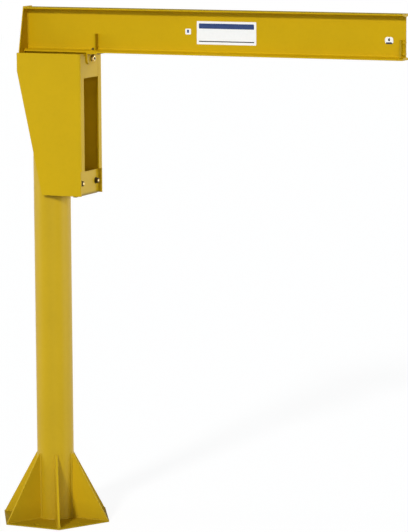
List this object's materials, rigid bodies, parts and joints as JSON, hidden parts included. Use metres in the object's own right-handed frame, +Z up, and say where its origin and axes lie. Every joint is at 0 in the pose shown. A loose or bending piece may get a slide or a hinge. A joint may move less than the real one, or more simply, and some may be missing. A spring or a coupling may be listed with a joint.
{
  "type": "jib crane",
  "caption": "Free-standing jib crane: round pipe mast on a gusseted hexagonal foot, a head that turns fully round on its top, and an I-beam boom for a hoist trolley.",
  "frame": {"origin": "mast axis on the underside of the foot plate", "axes": "+X along the boom at rest, +Y to the boom's left seen from the mast, +Z up"},
  "size_m": [2.585, 0.6148, 3.075],
  "materials": {
    "mast_paint": "smooth yellow paint",
    "head_paint": "smooth yellow paint",
    "boom_paint": "smooth yellow paint",
    "bare_steel": "turned steel, greased"
  },
  "bodies": {
    "mast": {"base_plate": "mast_paint", "gusset_1": "mast_paint", "gusset_2": "mast_paint", "gusset_3": "mast_paint", "gusset_4": "mast_paint", "gusset_5": "mast_paint", "gusset_6": "mast_paint", "mast_tube": "mast_paint", "mast_cap": "mast_paint", "pivot_pin": "bare_steel", "bearing_inner_race": "bare_steel", "pivot_collar": "bare_steel"},
    "jib": {"head_side_right": "head_paint", "head_side_left": "head_paint", "head_front_plate": "head_paint", "head_rear_plate": "head_paint", "head_top_plate": "head_paint", "boom_seat": "head_paint", "pivot_plate": "head_paint", "bearing_housing": "head_paint", "bearing_outer_race": "bare_steel", "boom_beam": "boom_paint", "boom_end_plate": "boom_paint", "boom_stiffener_right": "boom_paint", "boom_stiffener_left": "boom_paint", "boom_clip": "boom_paint", "end_stop_right": "boom_paint", "end_stop_left": "boom_paint", "trunnion_plate": "head_paint", "roller_bracket_right": "head_paint", "roller_bracket_left": "head_paint", "roller_pin_right": "bare_steel", "roller_pin_left": "bare_steel"},
    "roller_right": {"trunnion_roller_right": "bare_steel"},
    "roller_left": {"trunnion_roller_left": "bare_steel"}
  },
  "joints": [
    {"name": "jib_turn", "type": "hinge", "parent": "mast", "child": "jib", "pos_m": [0, 0, 2.657], "axis": [0, 0, 1], "continuous": true},
    {"name": "roller_right_spin", "type": "hinge", "parent": "jib", "child": "roller_right", "pos_m": [0.12977, -0.07493, 2.044], "axis": [0, 0, 1], "continuous": true},
    {"name": "roller_left_spin", "type": "hinge", "parent": "jib", "child": "roller_left", "pos_m": [0.12977, 0.07493, 2.044], "axis": [0, 0, 1], "continuous": true}
  ],
  "couplings": [
    {"joint": "roller_right_spin", "follows": "jib_turn", "ratio": 2.7388},
    {"joint": "roller_left_spin", "follows": "jib_turn", "ratio": 2.7388}
  ]
}
